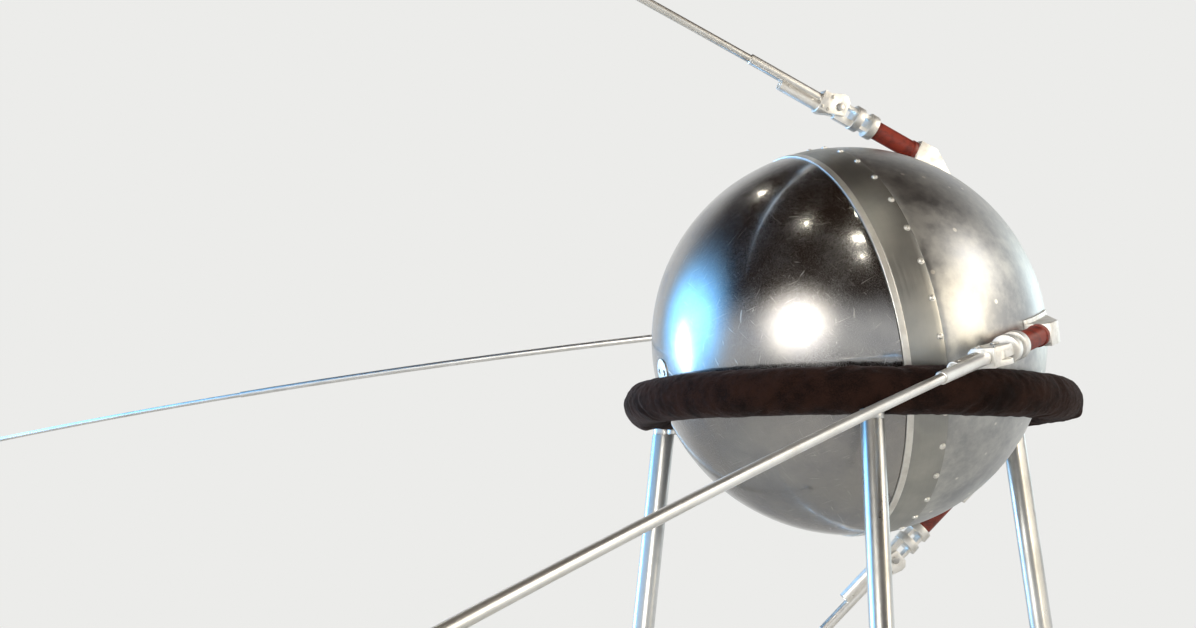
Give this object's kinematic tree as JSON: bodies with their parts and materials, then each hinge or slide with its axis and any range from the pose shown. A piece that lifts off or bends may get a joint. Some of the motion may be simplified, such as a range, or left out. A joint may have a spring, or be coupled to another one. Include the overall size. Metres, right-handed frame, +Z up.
{
  "type": "satellite on a padded ring stand",
  "caption": "Polished round satellite with hinged whip antennas, resting in a dark padded ring on a tall splayed chrome stand.",
  "frame": {"origin": "on the floor, in the middle of the stand's circle of floor screws", "axes": "+Z up, +X level, in the direction that the satellite's nose points to"},
  "size_m": [2.859, 3.6582, 3.1164],
  "materials": {
    "mirror_shell": "mirror polished",
    "frosted_shell": "brushed, slightly frosted",
    "satin_band": "satin",
    "bright_trim": "polished",
    "block_casing": "matt",
    "dark_padding": "soft nap",
    "red_insulator": "satin",
    "bracket_alloy": "polished",
    "pin_steel": "ground",
    "whip_tube": "polished",
    "leg_chrome": "plated, mirror"
  },
  "bodies": {
    "satellite_and_stand": {"shell_rear": "mirror_shell", "shell_front": "frosted_shell", "joint_band": "satin_band", "joint_lip": "bright_trim", "power_block": "block_casing", "rear_port": "bright_trim", "ring_pad": "dark_padding", "foot_bottom": "bracket_alloy", "insulator_bottom": "red_insulator", "hinge_base_bottom": "bracket_alloy", "hinge_pin_bottom": "pin_steel", "foot_back": "bracket_alloy", "insulator_back": "red_insulator", "hinge_base_back": "bracket_alloy", "hinge_pin_back": "pin_steel", "foot_top": "bracket_alloy", "insulator_top": "red_insulator", "hinge_base_top": "bracket_alloy", "hinge_pin_top": "pin_steel", "foot_front": "bracket_alloy", "insulator_front": "red_insulator", "hinge_base_front": "bracket_alloy", "hinge_pin_front": "pin_steel", "leg_head_1": "leg_chrome", "leg_1": "leg_chrome", "foot_plate_1": "leg_chrome", "leg_head_2": "leg_chrome", "leg_2": "leg_chrome", "foot_plate_2": "leg_chrome", "leg_head_3": "leg_chrome", "leg_3": "leg_chrome", "foot_plate_3": "leg_chrome"},
    "whip_arm_bottom": {"whip_clamp_bottom": "bracket_alloy", "whip_bottom": "whip_tube"},
    "whip_arm_back": {"whip_clamp_back": "bracket_alloy", "whip_back": "whip_tube"},
    "whip_arm_top": {"whip_clamp_top": "bracket_alloy", "whip_top": "whip_tube"},
    "whip_arm_front": {"whip_clamp_front": "bracket_alloy", "whip_front": "whip_tube"}
  },
  "joints": [
    {"name": "whip_fold_bottom", "type": "hinge", "parent": "satellite_and_stand", "child": "whip_arm_bottom", "pos_m": [0.09912, 0.06208, 1.65888], "axis": [-0.0338, 0.9839, 0.1756], "range_deg": [0, 11.5], "stiffness_Nm_per_rad": 9, "springref_deg": -68.75},
    {"name": "whip_fold_back", "type": "hinge", "parent": "satellite_and_stand", "child": "whip_arm_back", "pos_m": [0.02279, 0.3416, 2.05528], "axis": [-0.186, -0.1788, 0.9661], "range_deg": [0, 11.5], "stiffness_Nm_per_rad": 9, "springref_deg": -68.75},
    {"name": "whip_fold_top", "type": "hinge", "parent": "satellite_and_stand", "child": "whip_arm_top", "pos_m": [-0.03007, -0.06208, 2.32976], "axis": [0.0338, -0.9839, -0.1756], "range_deg": [0, 11.5], "stiffness_Nm_per_rad": 9, "springref_deg": -68.75},
    {"name": "whip_fold_front", "type": "hinge", "parent": "satellite_and_stand", "child": "whip_arm_front", "pos_m": [0.04627, -0.3416, 1.93336], "axis": [0.186, 0.1788, -0.9661], "range_deg": [0, 11.5], "stiffness_Nm_per_rad": 9, "springref_deg": -68.75}
  ]
}
